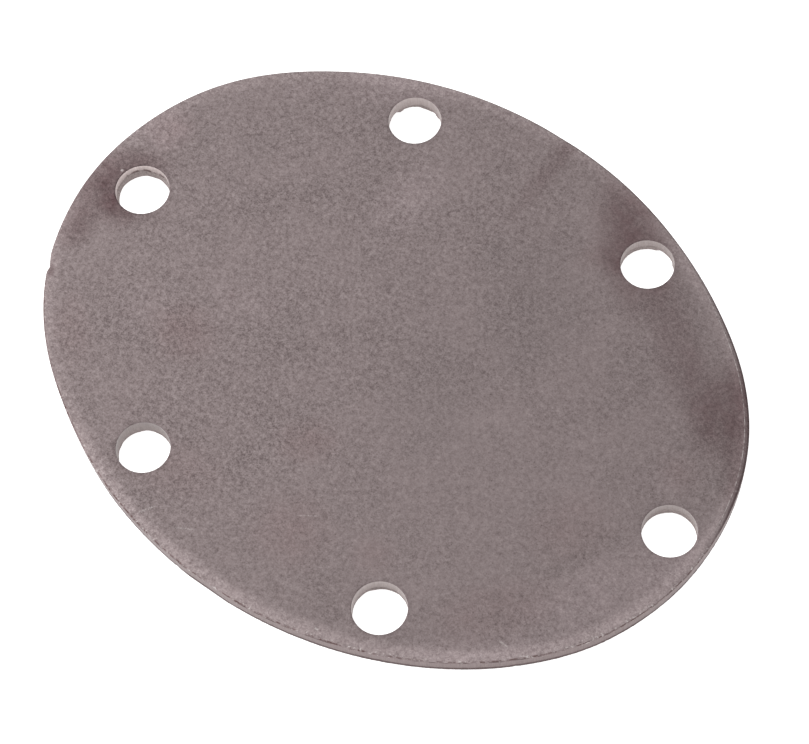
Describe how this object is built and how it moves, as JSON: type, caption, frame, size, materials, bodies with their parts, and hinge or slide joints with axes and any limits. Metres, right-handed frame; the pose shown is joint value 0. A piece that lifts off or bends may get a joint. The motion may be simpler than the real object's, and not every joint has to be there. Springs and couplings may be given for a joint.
{
  "type": "blind flange",
  "caption": "Flat oval steel cover plate that blanks off an oval flanged port, with evenly spaced plain bolt holes around its rim and no central opening.",
  "frame": {"origin": "middle of the outline on the flat sealing face (the underside)", "axes": "+X along the oval's long axis, +Y across it, +Z out of the plate's outer face, which has the rolled edges"},
  "size_m": [0.151, 0.1204, 0.004],
  "materials": {
    "bare_steel": "matt bare mill finish, tumbled, warm grey with faint brown oxide stains and a paler worn rim"
  },
  "bodies": {
    "root": {"flange_plate": "bare_steel"}
  },
  "joints": []
}
